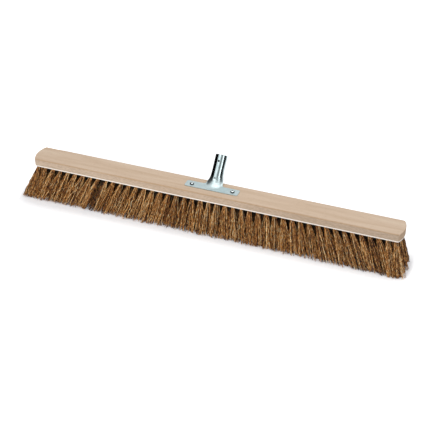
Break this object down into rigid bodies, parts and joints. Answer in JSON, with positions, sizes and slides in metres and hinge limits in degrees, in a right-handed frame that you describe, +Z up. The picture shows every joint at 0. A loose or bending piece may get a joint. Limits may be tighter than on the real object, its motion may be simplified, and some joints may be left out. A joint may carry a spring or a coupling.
{
  "type": "push broom head",
  "caption": "Wide push broom head: flat wooden block with drilled-in coir tufts fanning out at the ends and a slanted pressed-steel socket for a round handle.",
  "frame": {"origin": "On the floor plane of the trimmed bristle tips, under the middle of the block", "axes": "+X along the block, +Y to the back, where the handle leans, +Z up"},
  "size_m": [1.0775, 0.1288, 0.1856],
  "materials": {
    "beech": "planed and sanded raw beech with eased edges",
    "coir": "raw brown coconut fibre, stiff, matt to slightly shiny",
    "zinc_plate": "pressed sheet steel, bright zinc plating with a bluish cast",
    "screw_zinc": "zinc-plated round-head wood screws with a cross recess"
  },
  "bodies": {
    "root": {"wooden_block": "beech", "handle_socket": "zinc_plate", "screw_left": "screw_zinc", "screw_right": "screw_zinc", "tuft_rank_01": "coir", "tuft_rank_02": "coir", "tuft_rank_03": "coir", "tuft_rank_04": "coir", "tuft_rank_05": "coir", "tuft_rank_06": "coir", "tuft_rank_07": "coir", "tuft_rank_08": "coir", "tuft_rank_09": "coir", "tuft_rank_10": "coir", "tuft_rank_11": "coir", "tuft_rank_12": "coir", "tuft_rank_13": "coir", "tuft_rank_14": "coir", "tuft_rank_15": "coir", "tuft_rank_16": "coir", "tuft_rank_17": "coir", "tuft_rank_18": "coir", "tuft_rank_19": "coir", "tuft_rank_20": "coir", "tuft_rank_21": "coir", "tuft_rank_22": "coir", "tuft_rank_23": "coir", "tuft_rank_24": "coir", "tuft_rank_25": "coir", "tuft_rank_26": "coir", "tuft_rank_27": "coir", "tuft_rank_28": "coir", "tuft_rank_29": "coir", "tuft_rank_30": "coir", "tuft_rank_31": "coir", "tuft_rank_32": "coir", "tuft_rank_33": "coir", "tuft_rank_34": "coir", "tuft_rank_35": "coir", "tuft_rank_36": "coir", "tuft_rank_37": "coir", "tuft_rank_38": "coir", "tuft_rank_39": "coir", "tuft_rank_40": "coir", "tuft_rank_41": "coir", "tuft_rank_42": "coir", "tuft_rank_43": "coir", "tuft_rank_44": "coir", "end_tuft_1": "coir", "end_tuft_2": "coir", "end_tuft_3": "coir"}
  },
  "joints": []
}
